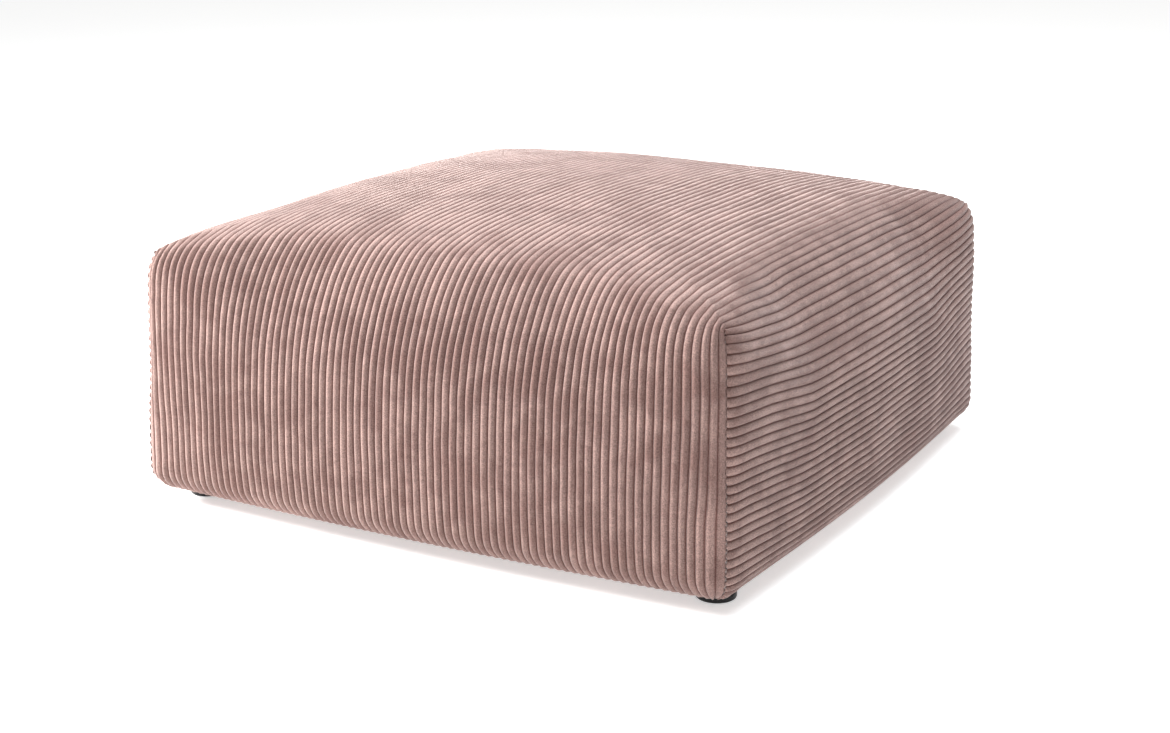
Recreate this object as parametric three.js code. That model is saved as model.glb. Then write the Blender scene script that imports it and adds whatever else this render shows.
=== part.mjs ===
// Square corduroy pouf: one soft, crowned block in a close-fitting cover, standing on four round glides.
// Millimetres, +Z up. The front, where the wales run down, faces -Y. The origin is on the floor
// under the middle of the pouf.

import * as THREE from 'three';
import { mergeVertices } from 'three/addons/utils/BufferGeometryUtils.js';

// The cover, out to the tops of the wales
const halfSpan = 484; // middle of the pouf to a wall, taken at the corners
const wallBow = 20; // how much further out a wall stands halfway along
const drawnIn = 3; // how much further in a wall stands at the top than at the floor
const undersideHeight = 15; // floor to the flat underside
const shoulderHeight = 386; // floor to the level of the top before it is crowned
const crownRise = 68; // middle of the top above that level
const crownFullness = 0.36; // under 1 keeps the crown broad, over 1 makes it peaked
const cornerReach = 40; // upright corners in plan, and how far the top roll reaches in at the corners
const cornerDrop = 32; // how far the top roll reaches down at the corners
const softReach = 96; // the same halfway along an edge, where the filling is softest
const softDrop = 135;
const softOver = 0.5; // share of half an edge over which the roll softens
const bottomRollReach = 50; // how far the bottom roll reaches in
const bottomRollRise = 40; // how far the bottom roll reaches up
const seamRidge = 8; // how far the cover comes to an edge at a corner seam
const ridgeOver = 45; // how far from the seam that edge starts
const seamDepth = 3; // how far the seam itself is drawn in

// The four round glides
const glideRadius = 28;
const glideEdge = 4; // rounding of the rim on the floor
const glideGap = 0.3; // space between a glide and the underside
const frontGlideX = 428; // middle of the pouf to a front glide, left and right
const backGlideX = 415; // the same for a back glide
const glideY = 403; // middle of the pouf to a glide, front and back

// How finely the curved surfaces are divided
const flatSteps = 12; // across the flat of the top or a wall
const wallSteps = 6; // up a wall between its rolls
const rollSteps = 6; // over half a roll, so one eighth of a circle
const glideSides = 40;
const rimSteps = 4;

const cloth = { color: 0xb48f88, roughness: 0.9, metalness: 0 };
const blackPlastic = { color: 0x121212, roughness: 0.35, metalness: 0 };

const eighthTurn = Math.PI / 4;

// One grid line of the block: how far through the flat it lies, from -1 to 1, and its slope in a roll.
function gridLine(index, flatCount) {
  const steps = flatCount / 2;
  const fromMiddle = index - steps - rollSteps;
  const side = Math.sign(fromMiddle);
  const inRoll = Math.max(Math.abs(fromMiddle) - steps, 0);
  const share = Math.min(Math.abs(fromMiddle), steps) / steps;
  return { flat: side * share, slope: side * Math.tan((inRoll / rollSteps) * eighthTurn) };
}

// 0 in the corners, 1 halfway along a side, for a grid line that crosses the side there.
function softness(line) {
  return THREE.MathUtils.smoothstep(1 - Math.abs(line.flat), 0, softOver);
}

// A plain rounded block, with its rolls, at the given grid lines.
function roundedBlock(lineX, lineY, lineZ) {
  const mix = THREE.MathUtils.lerp;
  const softX = softness(lineY);
  const softY = softness(lineX);
  const shareX = (lineX.slope ** 2 + 1e-9) / (lineX.slope ** 2 + lineY.slope ** 2 + 2e-9);
  const drop = mix(mix(cornerDrop, softDrop, softY), mix(cornerDrop, softDrop, softX), shareX);
  const upTheWall = (lineZ.flat + 1) / 2;
  const topShare = THREE.MathUtils.smoothstep(upTheWall, 0, 0.4);
  const reachX = mix(bottomRollReach, mix(cornerReach, softReach, softX), topShare);
  const reachY = mix(bottomRollReach, mix(cornerReach, softReach, softY), topShare);
  const outward = new THREE.Vector3(lineX.slope, lineY.slope, lineZ.slope).normalize();
  const wallTop = shoulderHeight - drop;
  const wallFoot = undersideHeight + bottomRollRise;
  const rollHeight = lineZ.slope > 0 ? drop : bottomRollRise;
  return new THREE.Vector3(
    lineX.flat * (halfSpan - reachX) + outward.x * reachX,
    lineY.flat * (halfSpan - reachY) + outward.y * reachY,
    mix(wallFoot, wallTop, upTheWall) + outward.z * rollHeight,
  );
}

// Fullness along one side: 1 at its middle, 0 at the corners.
function fullness(distance) {
  return Math.max(Math.cos((distance / halfSpan) * (Math.PI / 2)), 0);
}

// How far the cover stands out beside an upright corner seam, on each of the two axes.
function ridge(point) {
  const [x, y] = [Math.abs(point.x), Math.abs(point.y)];
  const wallStart = halfSpan - cornerReach;
  const outside = THREE.MathUtils.smoothstep((x + y) / 2, wallStart, wallStart + 0.7 * cornerReach);
  const near = Math.max(1 - (Math.abs(x - y) * Math.SQRT1_2) / ridgeOver, 0);
  return seamRidge * Math.SQRT1_2 * near ** 2 * outside;
}

// Swells a point of the plain block: walls bow out and the top rises to its crown.
function fill(point) {
  const across = fullness(point.x);
  const along = fullness(point.y);
  const height = (point.z - undersideHeight) / (shoulderHeight - undersideHeight);
  const lean = drawnIn * Math.min(height, 1);
  const edge = ridge(point);
  return new THREE.Vector3(
    point.x + (wallBow * along - lean) * (point.x / halfSpan) ** 3 + Math.sign(point.x) * edge,
    point.y + (wallBow * across - lean) * (point.y / halfSpan) ** 3 + Math.sign(point.y) * edge,
    point.z + crownRise * (across * along) ** crownFullness * height ** 4,
  );
}

// True on the four upright lines where the front and back of the cover meet its sides.
function isCornerSeam(lineX, lineY, lineZ) {
  return Math.abs(lineX.slope) > 0.99 && Math.abs(lineY.slope) > 0.99 && Math.abs(lineZ.slope) < 0.99;
}

function bodyGeometry() {
  const steps = flatSteps + 2 * rollSteps;
  const upSteps = wallSteps + 2 * rollSteps;
  const geometry = new THREE.BoxGeometry(steps, steps, upSteps, steps, steps, upSteps);
  const position = geometry.attributes.position;
  for (let i = 0; i < position.count; i++) {
    const lineX = gridLine(Math.round(position.getX(i) + steps / 2), flatSteps);
    const lineY = gridLine(Math.round(position.getY(i) + steps / 2), flatSteps);
    const lineZ = gridLine(Math.round(position.getZ(i) + upSteps / 2), wallSteps);
    const point = fill(roundedBlock(lineX, lineY, lineZ));
    if (isCornerSeam(lineX, lineY, lineZ)) {
      point.x -= Math.sign(point.x) * seamDepth * Math.SQRT1_2;
      point.y -= Math.sign(point.y) * seamDepth * Math.SQRT1_2;
    }
    position.setXYZ(i, point.x, point.y, point.z);
  }
  return closed(geometry);
}

// A flat puck whose lower rim is rounded, standing on the floor at z = 0.
function glideGeometry() {
  const profile = [new THREE.Vector2(0, 0)];
  for (let i = 0; i <= rimSteps; i++) {
    const turn = (i / rimSteps) * (Math.PI / 2);
    const radius = glideRadius - glideEdge * (1 - Math.sin(turn));
    profile.push(new THREE.Vector2(radius, glideEdge * (1 - Math.cos(turn))));
  }
  const top = undersideHeight - glideGap;
  profile.push(new THREE.Vector2(glideRadius, top), new THREE.Vector2(0, top));
  return closed(new THREE.LatheGeometry(profile, glideSides).rotateX(Math.PI / 2));
}

// Leaves only positions, so that neighbouring faces share their corners.
function closed(geometry) {
  geometry.deleteAttribute('normal');
  geometry.deleteAttribute('uv');
  const merged = mergeVertices(geometry, 1e-3);
  merged.computeVertexNormals();
  return merged;
}

function named(name, geometry, finish) {
  const mesh = new THREE.Mesh(geometry, new THREE.MeshStandardMaterial(finish));
  mesh.name = name;
  return mesh;
}

const pouf = new THREE.Group();
pouf.add(named('pouf_body', bodyGeometry(), cloth));
for (const [end, x, y] of [['front', frontGlideX, -glideY], ['back', backGlideX, glideY]]) {
  for (const [side, sign] of [['left', -1], ['right', 1]]) {
    const glide = named(`glide_${end}_${side}`, glideGeometry(), blackPlastic);
    glide.position.set(sign * x, y, 0);
    pouf.add(glide);
  }
}

export default pouf;
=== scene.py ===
import math
import bpy
import bmesh
import numpy as np
from mathutils import Matrix, Vector, noise


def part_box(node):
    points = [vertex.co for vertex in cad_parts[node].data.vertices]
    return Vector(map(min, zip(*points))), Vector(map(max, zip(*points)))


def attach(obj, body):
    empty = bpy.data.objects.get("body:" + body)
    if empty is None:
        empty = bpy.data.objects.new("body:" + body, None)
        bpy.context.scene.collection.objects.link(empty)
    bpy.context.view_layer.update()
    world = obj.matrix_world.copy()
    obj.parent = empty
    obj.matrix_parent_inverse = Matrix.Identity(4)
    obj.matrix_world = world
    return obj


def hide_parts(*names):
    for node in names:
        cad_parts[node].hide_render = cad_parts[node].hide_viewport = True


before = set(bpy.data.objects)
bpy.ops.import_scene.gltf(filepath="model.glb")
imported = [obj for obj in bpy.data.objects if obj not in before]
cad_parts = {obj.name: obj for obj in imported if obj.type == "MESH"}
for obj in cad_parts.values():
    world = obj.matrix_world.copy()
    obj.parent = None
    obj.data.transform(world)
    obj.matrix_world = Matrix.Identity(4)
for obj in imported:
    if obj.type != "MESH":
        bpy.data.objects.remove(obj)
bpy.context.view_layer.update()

# Metres, +Z up, the same frame as the construction. The front faces -Y.

photoView = {
    "place": (1.5085, -2.6954, 1.0384),
    "turn": 29.169,  # degrees to the left of straight along +Y
    "tilt": 12.966,  # degrees down
    "focalLength": 62.55,  # millimetres
    "sensorWidth": 36,  # millimetres
    "shift": -0.09,  # lowers the frame, which lets upright edges stay nearly upright
}


def addCamera():
    camera = bpy.data.cameras.new("photo_camera")
    camera.lens = photoView["focalLength"]
    camera.sensor_width = photoView["sensorWidth"]
    camera.shift_y = photoView["shift"]
    holder = bpy.data.objects.new("photo_camera", camera)
    holder.location = photoView["place"]
    holder.rotation_euler = (math.radians(90 - photoView["tilt"]), 0, math.radians(photoView["turn"]))
    bpy.context.scene.collection.objects.link(holder)
    bpy.context.scene.camera = holder


addCamera()
print("camera set")

# The filled pouf under its cover

block = {
    "halfSpan": 0.484,  # middle of the pouf to a wall, taken at the corners
    "shoulder": 0.386,  # floor to the top before it is crowned
    "underside": 0.015,  # floor to the flat underside
    "cornerReach": 0.040,  # upright corners in plan, and reach of the top roll at the corners
    "cornerDrop": 0.032,  # how far the top roll reaches down at the corners
    "softReach": 0.0957,  # the same halfway along an edge, where the filling is softest
    "softDrop": 0.135,
    "softOver": 0.50,  # share of half an edge over which the roll softens
    "bottomReach": 0.050,  # how far the bottom roll reaches in
    "bottomRise": 0.040,  # how far the bottom roll reaches up
    "crown": 0.068,  # rise of the middle of the top
    "crownFullness": 0.36,  # under 1 keeps the crown broad, over 1 makes it peaked
    "wallBow": 0.020,  # how far the middle of a wall stands out
    "drawnIn": 0.003,  # how much further in a wall stands at the top than at the floor
    "seamRidge": 0.008,  # how far the cloth comes to an edge at a corner seam
    "ridgeOver": 0.045,  # how far from the seam that edge starts
    "ridgeRise": 0.7,  # share of a corner's reach over which it grows from the top outwards
    "crownLeft": 0.010,  # what the simulated filling adds to the rise of the top
    "bowLeft": 0.003,  # and to the middle of a wall
}

# The cover is one cross of corduroy: a top with four flaps, closed by four upright seams.
cut = {
    "across": 78,  # wales over the top, from one side to the other
    "down": 32,  # wales down a side, from the end of a corner seam to the underside
    "seamTop": 24,  # degrees from straight up at which a corner seam ends
    "easeSteps": 260,  # how often a point near the end of a seam moves in between its neighbours
    "easeNear": 0.09,  # metres from the end of a seam in which the cloth is fully eased
    "easeFar": 0.26,  # metres from it at which the cloth is no longer eased
    "facingSteps": 4,  # easing steps between two looks at which way the cloth faces
    "smoothSteps": 6,  # how often all the upper cloth is smoothed after that
    "smoothShare": 0.5,  # share of the way to the middle of its neighbours that a point then moves
    "smoothFrom": 0.12,  # height above the floor at which this begins to act
    "smoothFull": 0.22,  # and at which it acts in full
}
half = cut["across"] // 2
steepest = 1.5  # radians, the turn above which a slope is taken to be no steeper
gentlest = 0.05  # radians, the turn under which a slope is taken to be no gentler
upright = 1.5707  # radians, the turn at which the cloth hangs straight down
tiny = 1e-9  # keeps a division safe where both its parts are nothing


# Rises smoothly from 0 at the start to 1 at the end
def smooth(value, start, end):
    part = np.clip((value - start) / (end - start), 0, 1)
    return part * part * (3 - 2 * part)


# Length of cloth over a roll, a quarter of an ellipse
def quarter(reach, rise):
    return math.pi / 2 * np.sqrt((reach * reach + rise * rise) / 2)


# Middle of the pouf to where its upright corners begin, and from wale to wale on the top
wide = block["halfSpan"] - block["cornerReach"]
pitch = (wide + quarter(block["cornerReach"], block["cornerDrop"]) / 2) / half


# Reach and drop of the top roll on the wall beside a line that lies so many wales along it
def rollAt(line):
    soft = smooth(1 - np.abs(line) * pitch / wide, 0, block["softOver"])
    reach = block["cornerReach"] + (block["softReach"] - block["cornerReach"]) * soft
    return reach, block["cornerDrop"] + (block["softDrop"] - block["cornerDrop"]) * soft


# Follows the cloth outwards from the middle and down a wall
def follow(line, below, reach, drop):
    flat = block["halfSpan"] - reach
    roll = quarter(reach, drop)
    wall = block["shoulder"] - drop - block["underside"] - block["bottomRise"]
    foot = quarter(block["bottomReach"], block["bottomRise"])
    downPitch = (flat + roll + wall + foot - half * pitch) / cut["down"]
    length = np.abs(line) * pitch + below * downPitch
    turn = np.clip((length - flat) / roll, 0, 1) * math.pi / 2
    down = np.clip((length - flat - roll) / wall, 0, 1)
    under = np.clip((length - flat - roll - wall) / foot, 0, 1) * math.pi / 2
    return np.minimum(length, flat), turn, down, under


# How far the cloth faces outwards for each step upwards, after so much turn
def leaning(turn):
    return np.tan(np.minimum(turn, steepest))


# How far it faces upwards for each step outwards
def standing(turn):
    return np.where(turn > upright, 0, 1 / np.tan(np.maximum(turn, gentlest)))


# Place on the plain rounded block of the wale crossing (i, j), k wales down a wall
def onBlock(i, j, k):
    isFront = (np.abs(j) == half) & (k > 0)
    isSide = (np.abs(i) == half) & (k > 0) & ~isFront
    reachX, dropX = rollAt(j)
    reachY, dropY = rollAt(i)
    flatX, turnX, downX, underX = follow(i, np.where(isSide, k, 0), reachX, dropX)
    flatY, turnY, downY, underY = follow(j, np.where(isFront, k, 0), reachY, dropY)
    slopeX, slopeY = leaning(turnX), leaning(turnY)
    outX = np.where(isSide, 1, slopeX)
    outY = np.where(isFront, 1, slopeY)
    outZ = np.where(isFront, standing(turnY), np.where(isSide, standing(turnX), 1))
    size = np.sqrt(outX ** 2 + outY ** 2 + outZ ** 2)
    outX, outY, outZ = outX / size, outY / size, outZ / size
    shareOnTop = (slopeX ** 2 + tiny) / (slopeX ** 2 + slopeY ** 2 + 2 * tiny)
    shareX = np.where(isSide, 1, np.where(isFront, 0, shareOnTop))
    drop = dropX * shareX + dropY * (1 - shareX)
    down = np.where(isSide, downX, downY)
    under = np.where(isSide, underX, underY)
    inset = block["bottomReach"] * (1 - np.cos(under)) / (np.hypot(outX, outY) + 1e-12)
    wallTop = block["shoulder"] - drop
    wallFoot = block["underside"] + block["bottomRise"]
    x = flatX + outX * (reachX - inset)
    y = flatY + outY * (reachY - inset)
    z = wallTop + (wallFoot - wallTop) * down + outZ * drop - block["bottomRise"] * np.sin(under)
    return np.stack([np.sign(i) * x, np.sign(j) * y, z], -1)


# 1 at the middle of a side, 0 at its corners
def fullness(distance):
    return np.maximum(np.cos(distance / block["halfSpan"] * math.pi / 2), 0)


# Bows the walls out and crowns the top, less the share that is left to the simulated filling
def filled(points, leftShare):
    x, y, z = points.T
    across = fullness(x)
    along = fullness(y)
    height = np.clip((z - block["underside"]) / (block["shoulder"] - block["underside"]), 0, None)
    rise = block["crown"] - leftShare * block["crownLeft"]
    crown = rise * (across * along) ** block["crownFullness"]
    bow = block["wallBow"] - leftShare * block["bowLeft"]
    lean = block["drawnIn"] * np.minimum(height, 1)
    fromSeam = np.abs(np.abs(x) - np.abs(y)) / math.sqrt(2)
    nearSeam = np.clip(1 - fromSeam / block["ridgeOver"], 0, 1) ** 2
    outside = smooth((np.abs(x) + np.abs(y)) / 2, wide, wide + block["cornerReach"] * block["ridgeRise"])
    ridge = block["seamRidge"] / math.sqrt(2) * nearSeam * outside
    return np.stack([
        x + (bow * along - lean) * (x / block["halfSpan"]) ** 3 + np.sign(x) * ridge,
        y + (bow * across - lean) * (y / block["halfSpan"]) ** 3 + np.sign(y) * ridge,
        z + crown * height ** 4,
    ], -1)


# The form has a corner at every crossing of a wale with a line square to it.
def buildForm():
    bm = bmesh.new()
    bmesh.ops.create_grid(bm, x_segments=cut["across"], y_segments=cut["across"], size=half)
    rim = [edge for edge in bm.edges if edge.is_boundary]
    for step in range(cut["down"]):
        ring = bmesh.ops.extrude_edge_only(bm, edges=rim)["geom"]
        corners = [item for item in ring if isinstance(item, bmesh.types.BMVert)]
        bmesh.ops.translate(bm, verts=corners, vec=(0, 0, -1))
        rim = [item for item in ring if isinstance(item, bmesh.types.BMEdge) and item.is_boundary]
    bmesh.ops.contextual_create(bm, geom=rim)
    bmesh.ops.recalc_face_normals(bm, faces=bm.faces)
    bm.verts.index_update()
    mesh = bpy.data.meshes.new("pouf_form")
    bm.to_mesh(mesh)
    bm.free()
    return mesh


def readPoints(mesh):
    flatList = np.empty(len(mesh.vertices) * 3)
    mesh.vertices.foreach_get("co", flatList)
    return flatList.reshape(-1, 3)


def writePoints(mesh, points):
    mesh.vertices.foreach_set("co", points.ravel())
    mesh.update()


# Which way each point of the form faces
def facing(mesh, points):
    writePoints(mesh, points)
    flatList = np.empty(len(mesh.vertices) * 3)
    mesh.vertex_normals.foreach_get("vector", flatList)
    return flatList.reshape(-1, 3)


# Lets the wales find an even way round the top of each corner seam, then rounds off what is left
# of the edges. A point moves to the middle of its neighbours.
def eased(points, crossings, mesh, leftShare):
    pairs = np.empty(len(mesh.edges) * 2, dtype=np.int64)
    mesh.edges.foreach_get("vertices", pairs)
    pairs = pairs.reshape(-1, 2)
    ends = np.concatenate([pairs, pairs[:, ::-1]])
    count = np.bincount(ends[:, 0], minlength=len(points))[:, None]
    isTip = (np.abs(crossings[:, 0]) == half) & (np.abs(crossings[:, 1]) == half) & (crossings[:, 2] == 0)
    lean = math.radians(cut["seamTop"])
    level = wide + block["cornerReach"] * math.sin(lean) / math.sqrt(2)
    height = block["shoulder"] - block["cornerDrop"] * (1 - math.cos(lean))
    side = np.sign(crossings[isTip, :2]) * level
    tipPoints = filled(np.column_stack([side, np.full(len(side), height)]), leftShare)
    distance = np.min([np.linalg.norm(points - tip, axis=1) for tip in tipPoints], axis=0)
    points = points.copy()
    points[isTip] = tipPoints
    nearTip = 1 - smooth(distance, cut["easeNear"], cut["easeFar"])[:, None]
    high = smooth(points[:, 2], cut["smoothFrom"], cut["smoothFull"])[:, None]
    for step in range(cut["easeSteps"] + cut["smoothSteps"]):
        if step % cut["facingSteps"] == 0 or step >= cut["easeSteps"]:
            normals = facing(mesh, points)
        neighbours = points[ends[:, 1]].T
        total = [np.bincount(ends[:, 0], weights=row, minlength=len(points)) for row in neighbours]
        move = np.stack(total, -1) / count - points
        rise = np.sum(move * normals, axis=1, keepdims=True) * normals
        if step < cut["easeSteps"]:
            move = (move - rise) * nearTip
            move[isTip] = 0
        else:
            move = move * high * cut["smoothShare"]
        points = points + move
    return points


formMesh = buildForm()
crossings = np.rint(readPoints(formMesh)) * (1, 1, -1)
simulated = 1
plainPoints = onBlock(*crossings.T)
formPoints = eased(filled(plainPoints, simulated), crossings, formMesh, simulated)
print("form", len(formPoints), "points")

# The filling presses out from inside, held by the corner seams and the underside.
filling = {
    "pressure": 4,
    "frames": 20,
    "heldWales": 2,  # wales up a wall from the underside that stay where they are
    "cap": 0.012,  # metres that a point may move
}


def swollen(points, crossings, mesh):
    writePoints(mesh, points)
    holder = bpy.data.objects.new("pouf_filling", mesh)
    scene = bpy.context.scene
    scene.collection.objects.link(holder)
    isSeam = (np.abs(crossings[:, 0]) == half) & (np.abs(crossings[:, 1]) == half)
    isHeld = isSeam | (crossings[:, 2] >= cut["down"] - filling["heldWales"])
    held = holder.vertex_groups.new(name="held")
    held.add(np.nonzero(isHeld)[0].tolist(), 1.0, "REPLACE")
    cloth = holder.modifiers.new("cloth", "CLOTH")
    cloth.settings.vertex_group_mass = "held"
    cloth.settings.use_pressure = True
    cloth.settings.uniform_pressure_force = filling["pressure"]
    cloth.settings.effector_weights.gravity = 0
    cloth.point_cache.frame_start = 1
    cloth.point_cache.frame_end = filling["frames"]
    for frameNumber in range(1, filling["frames"] + 1):
        scene.frame_set(frameNumber)
    pressed = readPoints(holder.evaluated_get(bpy.context.evaluated_depsgraph_get()).data)
    bpy.data.objects.remove(holder)
    scene.frame_set(1)
    return pressed


# Brings the swelling down to what the crown was left short of
def settled(points, pressed, crossings):
    if pressed is None:
        return points
    moved = pressed - points
    isMiddle = np.all(crossings == 0, axis=1)
    moved *= block["crownLeft"] / moved[isMiddle, 2].mean()
    length = np.linalg.norm(moved, axis=1, keepdims=True)
    return points + moved * np.minimum(1, filling["cap"] / np.maximum(length, tiny))


# The block is never quite even: broad lumps of filling, and wales that wander a little.
uneven = {
    "lumpSize": 0.17,
    "lump": 0.0022,
    "lumpOffset": (3.1, 0.4, 7.7),  # where in the noise the lumps are taken from
    "wanderSize": 0.045,
    "wander": 0.0007,
    "fadeFrom": 0.030,  # height above the floor under which there is none of it
    "fadeOver": 0.060,  # further height over which it grows to its full size
    "seed": 11,  # any number but 0, which would give other wales in each run
}


def lumpy(points, mesh):
    noise.seed_set(uneven["seed"])
    away = facing(mesh, points)
    result = points.copy()
    offset = Vector(uneven["lumpOffset"])
    for index, point in enumerate(points):
        place = Vector(point)
        lump = noise.noise(place / uneven["lumpSize"] + offset) * uneven["lump"]
        wander = noise.noise_vector(place / uneven["wanderSize"]) * uneven["wander"]
        fade = min(max((point[2] - uneven["fadeFrom"]) / uneven["fadeOver"], 0), 1)
        result[index] += (away[index] * lump + np.array(wander)) * fade
    return result


pressed = swollen(formPoints, crossings, formMesh)
formPoints = settled(formPoints, pressed, crossings)
formPoints = lumpy(formPoints, formMesh)
bpy.data.meshes.remove(formMesh)
print("filling settled", "quickly" if pressed is None else "by simulation")

# The cover of corduroy. All of it is counted in wales: over i across the top, j along it, k down a wall.
wale = {
    "depth": 0.0042,  # top of a wale to the bottom of its groove
    "roundness": 2.0,  # more makes the top of a wale flatter
    "fullness": 0.8,  # less makes its groove narrower
    "places": (0, 0.05, 0.175, 0.325, 0.5, 0.675, 0.825, 0.95),  # points across one wale, from its groove
    "topShare": 0.45,  # share of that depth on the top, where the cloth is stretched flat
    "topFrom": 0.75,  # how squarely upwards the cloth faces where that begins
    "topFull": 0.98,  # and where it is complete
    "endFrom": 30.0,  # wales down a wall at which the relief starts to die away
}
seam = {
    "valley": 0.0026,  # how deep a corner seam lies under the tops of the wales
    "reach": 0.42,  # wales from the seam over which the cloth turns down to it
    "fade": 1.2,  # wales below the end of the seam over which the valley starts
    "gap": 0.0004,  # how far the cloth stays back from the middle of the seam
    "flatWale": 0.0022,  # how far the cut wale beside the seam is pressed flat
    "flatShadeRelief": 0.62,  # and the relief mark it is given, which paints a little shade into it through the groove colour
    "flatReach": 0.78,  # wales from the seam up to which it is flat
    "flatEnd": 0.95,  # and at which the next wale stands up again
    "notch": 0.0014,  # how much deeper the grooves of a side run where they meet the seam
    "notchReach": 0.55,  # wales from the seam over which they do
    "weld": 1e-5,  # metres apart at which the corners of two cloths become one
}

# Where the rows of points that cross the wales lie, counted in wales from an edge of the top
edgeToMiddle = np.array((
    0, 0.15, 0.4, 0.8, 1.3, 2, 2.75, 3.5, 4.25, 5, 6, 7.5,
    9, 11, 13.5, 16, 19, 22, 25, 28, 31, 34, 36.5, half,
))
alongTop = np.concatenate([edgeToMiddle, 2 * half - edgeToMiddle[-2::-1]])

# The point of the settled form at each crossing
nodeAt = {tuple(key): point for key, point in zip(crossings.astype(int).tolist(), formPoints)}


# A smooth curve through evenly numbered rows of points
def between(rows, places):
    ends = np.concatenate([2 * rows[:1] - rows[1:2], rows, 2 * rows[-1:] - rows[-2:-1]])
    first = np.clip(np.floor(places).astype(int), 0, len(rows) - 2)
    part = (places - first).reshape(-1, 1, 1)
    a, b, c, d = (ends[first + step] for step in range(4))
    return b + part / 2 * (c - a + part * (2 * a - 5 * b + 4 * c - d + part * (3 * (b - c) + d - a)))


# Points of a cloth through the nodes, which way it faces there, and how it runs from column to column
def spread(nodes, rowPlaces, columnPlaces):
    rows = between(nodes, rowPlaces)
    points = between(rows.transpose(1, 0, 2), columnPlaces).transpose(1, 0, 2)
    overRows = np.gradient(points, rowPlaces, axis=0)
    overColumns = np.gradient(points, columnPlaces, axis=1)
    normals = np.cross(overRows, overColumns)
    normals /= np.linalg.norm(normals, axis=-1, keepdims=True)
    middle = np.array([0, 0, block["shoulder"] / 2])
    inwards = np.sum(normals * (points - middle), axis=-1).mean() < 0
    return points, -normals if inwards else normals, overColumns


# 1 along the top of a wale, 0 in a groove
def reliefOf(places):
    fromTop = np.abs(2 * (places - np.floor(places)) - 1)
    return (1 - fromTop ** wale["roundness"]) ** wale["fullness"]


def finePlacesOver(count):
    return np.append((np.arange(count)[:, None] + np.array(wale["places"])).ravel(), count)


# How far the cloth turns down beside a corner seam
def valleyAt(fromSeam, onFlap):
    return onFlap * seam["valley"] * (1 - smooth(fromSeam, 0, seam["reach"]))


# Sinks the cloth under the tops of its wales, and keeps its edges back from the corner seams
def pressedIn(points, normals, overColumns, sunk, columns, onFlap):
    aside = overColumns / np.linalg.norm(overColumns, axis=-1, keepdims=True)
    shift = onFlap * seam["gap"] * (np.abs(columns) == half) * -np.sign(columns)
    return points - normals * sunk[..., None] + aside * shift[..., None]


# What the finish reads at each point: wales over the top, wales along them, and relief, which also sets
# where shade is painted
def marksOf(over, along, relief, points):
    return np.stack([np.broadcast_to(mark, points.shape[:2]) for mark in (over, along, relief)], -1)


# The strip: front flap, top and back flap in one length
def makeStrip():
    down = cut["down"]
    rowKeys = [(-half, k) for k in range(down, 0, -1)] + [(j, 0) for j in range(-half, half + 1)]
    rowKeys += [(half, k) for k in range(1, down + 1)]
    nodes = np.array([[nodeAt[i, j, k] for i in range(-half, half + 1)] for j, k in rowKeys])
    rowPlaces = np.concatenate([np.arange(down), down + alongTop, down + 2 * half + 1 + np.arange(down)])
    columnPlaces = finePlacesOver(2 * half)
    points, normals, overColumns = spread(nodes, rowPlaces, columnPlaces)
    over = columnPlaces - half
    along = (rowPlaces - down - half)[:, None]
    below = np.maximum(down - rowPlaces, rowPlaces - down - 2 * half)[:, None]
    fromSeam = half - np.abs(over)[None, :]
    onFlap = smooth(below, 0, seam["fade"])
    relief = reliefOf(columnPlaces)[None, :]
    flatter = 1 - (1 - wale["topShare"]) * smooth(normals[..., 2], wale["topFrom"], wale["topFull"])
    sunk = wale["depth"] * (1 - relief) * flatter
    pressedFlat = onFlap * (1 - smooth(fromSeam, seam["flatReach"], seam["flatEnd"]))
    # The flat cut wale gets a lower relief mark, so it takes a little painted shade from the groove colour
    relief = relief + (seam["flatShadeRelief"] - relief) * pressedFlat
    sunk = sunk + (seam["flatWale"] - sunk) * pressedFlat
    sunk = sunk + valleyAt(fromSeam, onFlap)
    sunk = sunk * (1 - smooth(below, wale["endFrom"], down))
    points = pressedIn(points, normals, overColumns, sunk, over, onFlap)
    return points, marksOf(over, along, relief, points)


# One side flap. Its top row is the edge of the strip.
def makeFlap(side, stripPoints):
    down = cut["down"]
    nodes = np.array([[nodeAt[side * half, j, k] for j in range(-half, half + 1)] for k in range(down + 1)])
    rowPlaces = finePlacesOver(down)
    points, normals, overColumns = spread(nodes, rowPlaces, alongTop)
    along = alongTop - half
    below = rowPlaces[:, None]
    fromSeam = half - np.abs(along)[None, :]
    onFlap = smooth(below, 0, seam["fade"])
    relief = reliefOf(rowPlaces)[:, None]
    sunk = wale["depth"] * (1 - relief)
    sunk = sunk + valleyAt(fromSeam, onFlap)
    sunk = sunk + onFlap * seam["notch"] * (1 - relief) * (1 - smooth(fromSeam, 0, seam["notchReach"]))
    sunk = sunk * (1 - smooth(below, wale["endFrom"], down))
    points = pressedIn(points, normals, overColumns, sunk, along, onFlap)
    edge = stripPoints[down:down + len(alongTop), -1 if side > 0 else 0]
    points = points + (edge - points[0]) * (1 - smooth(below, 0, 1))[..., None]
    return points, marksOf(side * (half + below), along, relief, points)


# Lays a grid of cloth at the given points, and returns its corners row by row
def layCloth(bm, layer, points, marks):
    rows, columns = points.shape[:2]
    made = bmesh.ops.create_grid(bm, x_segments=columns - 1, y_segments=rows - 1, size=1)["verts"]
    table = np.empty((rows, columns), dtype=object)
    for corner in made:
        row = round((corner.co.y + 1) / 2 * (rows - 1))
        column = round((corner.co.x + 1) / 2 * (columns - 1))
        table[row, column] = corner
        corner.co = points[row, column]
        corner[layer] = marks[row, column]
    return table


def edgesAlong(corners):
    pairs = ((a, b) for a, b in zip(corners[:-1], corners[1:]))
    return [edge for a, b in pairs for edge in a.link_edges if edge.other_vert(a) is b]


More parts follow.
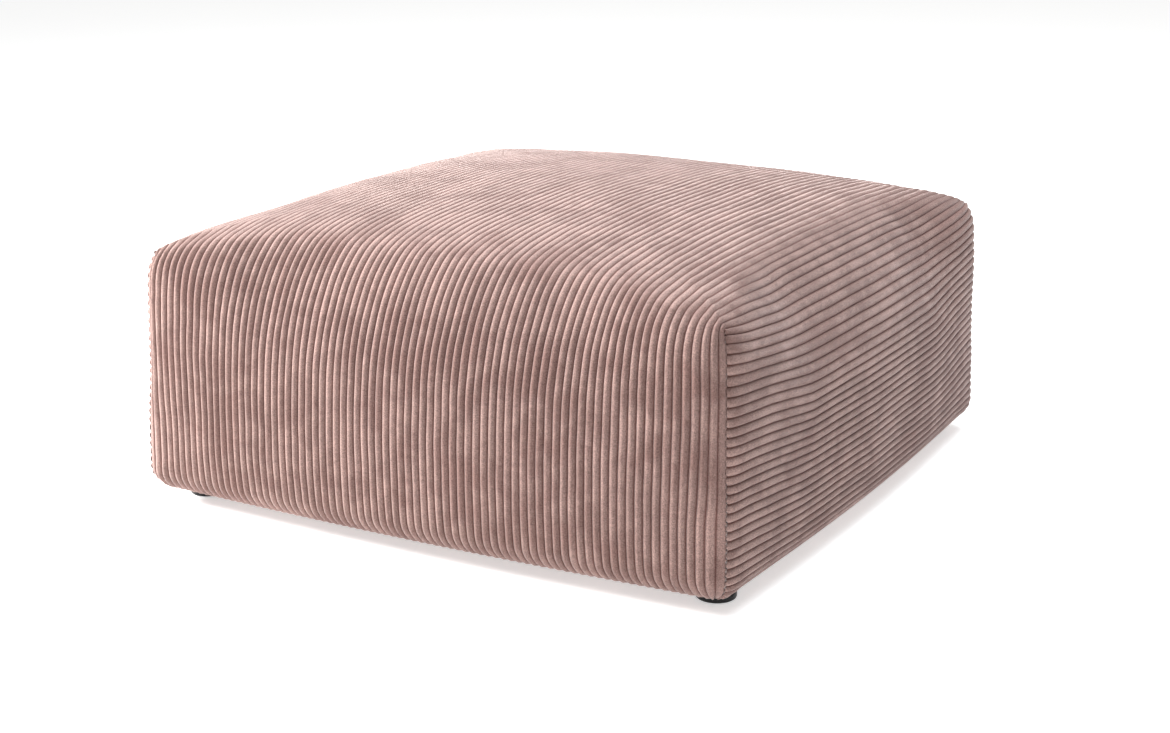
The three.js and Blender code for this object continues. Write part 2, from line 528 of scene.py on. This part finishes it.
# Sews the two side flaps to the strip and closes the underside
def makeCover():
    bm = bmesh.new()
    layer = bm.verts.layers.float_vector.new("wale")
    stripPoints, stripMarks = makeStrip()
    strip = layCloth(bm, layer, stripPoints, stripMarks)
    down = cut["down"]
    for side in (-1, 1):
        flap = layCloth(bm, layer, *makeFlap(side, stripPoints))
        edge = strip[:, -1 if side > 0 else 0]
        for end, chain in ((-1, edge[down - 1::-1]), (1, edge[-down:])):
            column = flap[1:, -1 if end > 0 else 0]
            bmesh.ops.bridge_loops(bm, edges=edgesAlong(list(chain)) + edgesAlong(list(column)))
    loose = [corner for corner in bm.verts if corner.is_boundary]
    bmesh.ops.remove_doubles(bm, verts=loose, dist=seam["weld"])
    bmesh.ops.holes_fill(bm, edges=[edge for edge in bm.edges if edge.is_boundary], sides=4)
    rim = [edge for edge in bm.edges if edge.is_boundary]
    bmesh.ops.contextual_create(bm, geom=rim)
    bmesh.ops.recalc_face_normals(bm, faces=bm.faces)
    print("open edges", sum(not edge.is_manifold for edge in bm.edges))
    for face in bm.faces:
        face.smooth = True
    mesh = bpy.data.meshes.new("pouf_cover")
    bm.to_mesh(mesh)
    bm.free()
    print("cover", sum(len(face.vertices) - 2 for face in mesh.polygons), "triangles")
    return mesh


def showMesh(name, mesh):
    holder = bpy.data.objects.new(name, mesh)
    bpy.context.scene.collection.objects.link(holder)
    return holder


cover = showMesh("pouf_cover", makeCover())

# Finishes

clothLook = {
    "colour": (0.232, 0.149, 0.132),
    "crushedAndShadeColour": (0.100, 0.034, 0.027),  # partly painted shade between the wales, partly the darker backing that shows there, and the crushed pile
    "roughness": 0.95,
    "gloss": 0.15,
    "sheen": 0.42,
    "sheenRoughness": 0.38,
    "sheenTint": (1.0, 0.90, 0.88),
    "grooveShadeShare": 0.75,  # share of that colour at the bottom of a groove, in part painted shade
    "grooveShadeReach": 0.8,  # relief above which it shows no more
    "cloudSize": 9.0,  # patches of crushed pile to a metre
    "cloudShare": 0.55,
    "patchSize": 26.0,  # smaller patches in them
    "patchShare": 0.45,
    "crushed": (0.40, 0.56),  # range of the patches in which the deep colour fades out
    "crushedDepth": 0.34,  # share of the deep colour in the darkest patches
    "raised": (0.46, 0.62),  # range of the patches in which the standing pile gets lighter
    "raisedLight": 1.16,  # and how much lighter
    "streakSize": 0.9,  # streaks to a wale
    "streakStretch": 0.07,  # how much less a streak changes along the wales
    "streakShade": (0.88, 1.06),  # darkest and lightest streaks
    "grainSize": 620.0,  # tufts of pile to a metre
    "grainShade": (0.66, 1.3),  # darkest and lightest tufts
    "grainHeight": 0.0007,
    "grainStrength": 0.8,
}
plasticLook = {
    "colour": (0.012, 0.012, 0.013),
    "gloss": 0.25,
    "scuffSize": 140.0,  # scuffs to a metre
    "scuffRoughness": (0.22, 0.36),  # smoothest and roughest places
    "scuffHeight": 0.0001,
    "scuffStrength": 0.4,
}
noiseRange = (0.3, 0.7)  # where nearly all values of a noise lie


# One material, with short ways to add nodes to it
class Finish:
    def __init__(self, name):
        self.material = bpy.data.materials.new(name)
        self.material.use_nodes = True
        self.tree = self.material.node_tree
        self.shader = self.tree.nodes["Principled BSDF"]

    # The inputs are named, or numbered as n0, n1 and so on.
    def add(self, kind, settings=None, **inputs):
        node = self.tree.nodes.new(kind)
        for key, value in (settings or {}).items():
            setattr(node, key, value)
        for key, value in inputs.items():
            self.feed(node, key, value)
        return node

    def feed(self, node, key, value):
        socket = node.inputs[int(key[1:]) if key[0] == "n" and key[1:].isdigit() else key]
        if isinstance(value, bpy.types.NodeSocket):
            self.tree.links.new(value, socket)
        else:
            socket.default_value = value

    def compute(self, operation, a, b=0.5, c=0.5):
        return self.add("ShaderNodeMath", {"operation": operation}, n0=a, n1=b, n2=c).outputs[0]

    # A value inside the given range turned into one from low to high
    def ramp(self, value, inside, low, high):
        node = self.add("ShaderNodeMapRange", {"interpolation_type": "SMOOTHSTEP"}, Value=value)
        for key, number in zip(("From Min", "From Max", "To Min", "To Max"), (*inside, low, high)):
            self.feed(node, key, number)
        return node.outputs["Result"]

    def mottle(self, place, scale, detail, roughness, distortion=0.0):
        node = self.add("ShaderNodeTexNoise", Vector=place, Scale=scale, Detail=detail)
        self.feed(node, "Roughness", roughness)
        self.feed(node, "Distortion", distortion)
        return node.outputs["Fac"]

    def roughen(self, height, distance, strength):
        bump = self.add("ShaderNodeBump", Height=height, Distance=distance, Strength=strength)
        self.feed(self.shader, "Normal", bump.outputs[0])


def corduroy():
    finish = Finish("corduroy")
    place = finish.add("ShaderNodeTexCoord").outputs["Object"]
    marks = finish.add("ShaderNodeAttribute", {"attribute_name": "wale"}).outputs["Vector"]
    over, along, relief = finish.add("ShaderNodeSeparateXYZ", Vector=marks).outputs
    # Painted shade in the grooves between the wales, in part the darker backing that shows there
    groove = finish.ramp(relief, (0, clothLook["grooveShadeReach"]), clothLook["grooveShadeShare"], 0)
    cloud = finish.mottle(place, clothLook["cloudSize"], 4, 0.6, 0.4)
    patch = finish.mottle(place, clothLook["patchSize"], 3, 0.6, 0.6)
    cloud = finish.compute("MULTIPLY", cloud, clothLook["cloudShare"])
    cloud = finish.compute("MULTIPLY_ADD", patch, clothLook["patchShare"], cloud)
    crushed = finish.ramp(cloud, clothLook["crushed"], clothLook["crushedDepth"], 0)
    raised = finish.ramp(cloud, clothLook["raised"], 1, clothLook["raisedLight"])
    # The darker of the painted groove shade and the crushed pile
    crushedAndShadeShare = finish.compute("MAXIMUM", groove, crushed)
    along = finish.compute("MULTIPLY", along, clothLook["streakStretch"])
    stretched = finish.add("ShaderNodeCombineXYZ", X=over, Y=along).outputs[0]
    streak = finish.mottle(stretched, clothLook["streakSize"], 3, 0.6)
    streak = finish.ramp(streak, noiseRange, *clothLook["streakShade"])
    grain = finish.mottle(place, clothLook["grainSize"], 2, 0.7)
    tuft = finish.ramp(grain, noiseRange, *clothLook["grainShade"])
    shade = finish.compute("MULTIPLY", raised, finish.compute("MULTIPLY", streak, tuft))
    colours = finish.add("ShaderNodeMix", {"data_type": "VECTOR"}, Factor=crushedAndShadeShare)
    finish.feed(colours, "n4", clothLook["colour"])
    finish.feed(colours, "n5", clothLook["crushedAndShadeColour"])
    colour = finish.add("ShaderNodeVectorMath", {"operation": "SCALE"}, n0=colours.outputs[1], Scale=shade)
    finish.feed(finish.shader, "Base Color", colour.outputs[0])
    finish.roughen(grain, clothLook["grainHeight"], clothLook["grainStrength"])
    finish.feed(finish.shader, "Roughness", clothLook["roughness"])
    finish.feed(finish.shader, "Specular IOR Level", clothLook["gloss"])
    finish.feed(finish.shader, "Sheen Weight", clothLook["sheen"])
    finish.feed(finish.shader, "Sheen Roughness", clothLook["sheenRoughness"])
    finish.feed(finish.shader, "Sheen Tint", (*clothLook["sheenTint"], 1))
    return finish.material


def glidePlastic():
    finish = Finish("glide_plastic")
    place = finish.add("ShaderNodeTexCoord").outputs["Object"]
    scuff = finish.mottle(place, plasticLook["scuffSize"], 4, 0.6)
    finish.feed(finish.shader, "Base Color", (*plasticLook["colour"], 1))
    roughness = finish.ramp(scuff, noiseRange, *plasticLook["scuffRoughness"])
    finish.feed(finish.shader, "Roughness", roughness)
    finish.feed(finish.shader, "Specular IOR Level", plasticLook["gloss"])
    finish.roughen(scuff, plasticLook["scuffHeight"], plasticLook["scuffStrength"])
    return finish.material


cover.data.materials.append(corduroy())
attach(cover, "root")
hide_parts("pouf_body")
print("cover dressed")

glide = {
    "radius": 0.028,
    "sides": 64,
    "rim": 0.004,  # rounding where it meets the floor
    "rimSteps": 6,
    "height": 0.0147,  # floor to just under the cloth
    "neck": 0.0012,  # how much narrower it is where it meets the cloth
    "neckHeight": 0.0015,
}


def makeGlide(name, node):
    low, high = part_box(node)
    middle = (Vector(low) + Vector(high)) / 2
    bm = bmesh.new()
    body = glide["height"] - glide["neckHeight"]
    lift = Matrix.Translation((middle.x, middle.y, body / 2))
    radius = glide["radius"]
    bmesh.ops.create_cone(
        bm, cap_ends=True, segments=glide["sides"], radius1=radius, radius2=radius, depth=body, matrix=lift)
    onFloor = glide["rim"] / 2
    lower = [edge for edge in bm.edges if all(corner.co.z < onFloor for corner in edge.verts)]
    bmesh.ops.bevel(
        bm, geom=lower, offset=glide["rim"], segments=glide["rimSteps"], profile=0.5, affect="EDGES",
        material=-1)
    top = [face for face in bm.faces if face.normal.z > 0.9]
    bmesh.ops.inset_region(bm, faces=top, thickness=glide["neck"], use_even_offset=True)
    top = [face for face in bm.faces if face.normal.z > 0.9 and len(face.verts) == glide["sides"]]
    raised = bmesh.ops.extrude_face_region(bm, geom=top)["geom"]
    bmesh.ops.delete(bm, geom=top, context="FACES_ONLY")
    raised = [item for item in raised if isinstance(item, bmesh.types.BMVert)]
    bmesh.ops.translate(bm, verts=raised, vec=(0, 0, glide["neckHeight"]))
    bmesh.ops.recalc_face_normals(bm, faces=bm.faces)
    for face in bm.faces:
        face.smooth = abs(face.normal.z) < 0.99
    mesh = bpy.data.meshes.new(name)
    bm.to_mesh(mesh)
    bm.free()
    return showMesh(name, mesh)


plastic = glidePlastic()
for end in ("front", "back"):
    for side in ("left", "right"):
        node = f"glide_{end}_{side}"
        made = makeGlide(f"turned_glide_{end}_{side}", node)
        made.data.materials.append(plastic)
        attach(made, "root")
        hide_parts(node)
print("glides made")

# Room and light

room = {
    "floorSize": 20,
    "floorColour": (0.90, 0.90, 0.90, 1),
    "floorRoughness": 0.9,
    "floorGloss": 0.1,
    "floorGlow": 0.58,  # keeps the paper white far from the lamps
    "skyColour": (1.0, 0.99, 0.98, 1),
    "skyStrength": 0.42,
    "lampAim": (0, 0, 0.25),  # both lamps point at the middle of the pouf
}
lamps = {
    "key": {"place": (-2.7, -1.2, 1.35), "size": 0.8, "power": 285, "colour": (1.0, 0.99, 0.97)},
    "top": {"place": (0.45, 0.4, 3.3), "size": 2.6, "power": 190, "colour": (0.90, 0.97, 1.0)},
}


def addFloor():
    bm = bmesh.new()
    bmesh.ops.create_grid(bm, x_segments=1, y_segments=1, size=room["floorSize"])
    mesh = bpy.data.meshes.new("floor")
    bm.to_mesh(mesh)
    bm.free()
    floor = showMesh("floor", mesh)
    finish = Finish("floor_paper")
    finish.feed(finish.shader, "Base Color", room["floorColour"])
    finish.feed(finish.shader, "Roughness", room["floorRoughness"])
    finish.feed(finish.shader, "Specular IOR Level", room["floorGloss"])
    finish.feed(finish.shader, "Emission Color", room["floorColour"])
    finish.feed(finish.shader, "Emission Strength", room["floorGlow"])
    floor.data.materials.append(finish.material)


def addLamp(name, lamp):
    light = bpy.data.lights.new(name, "AREA")
    light.size = lamp["size"]
    light.energy = lamp["power"]
    light.color = lamp["colour"]
    holder = bpy.data.objects.new(name, light)
    place = Vector(lamp["place"])
    holder.location = place
    holder.rotation_euler = (Vector(room["lampAim"]) - place).to_track_quat("-Z", "Y").to_euler()
    bpy.context.scene.collection.objects.link(holder)


def addSky():
    world = bpy.data.worlds.new("studio")
    world.use_nodes = True
    sky = world.node_tree.nodes["Background"]
    sky.inputs["Color"].default_value = room["skyColour"]
    sky.inputs["Strength"].default_value = room["skyStrength"]
    bpy.context.scene.world = world


addFloor()
for name, lamp in lamps.items():
    addLamp(name, lamp)
addSky()
bpy.context.scene.view_settings.view_transform = "Standard"
print("room lit")
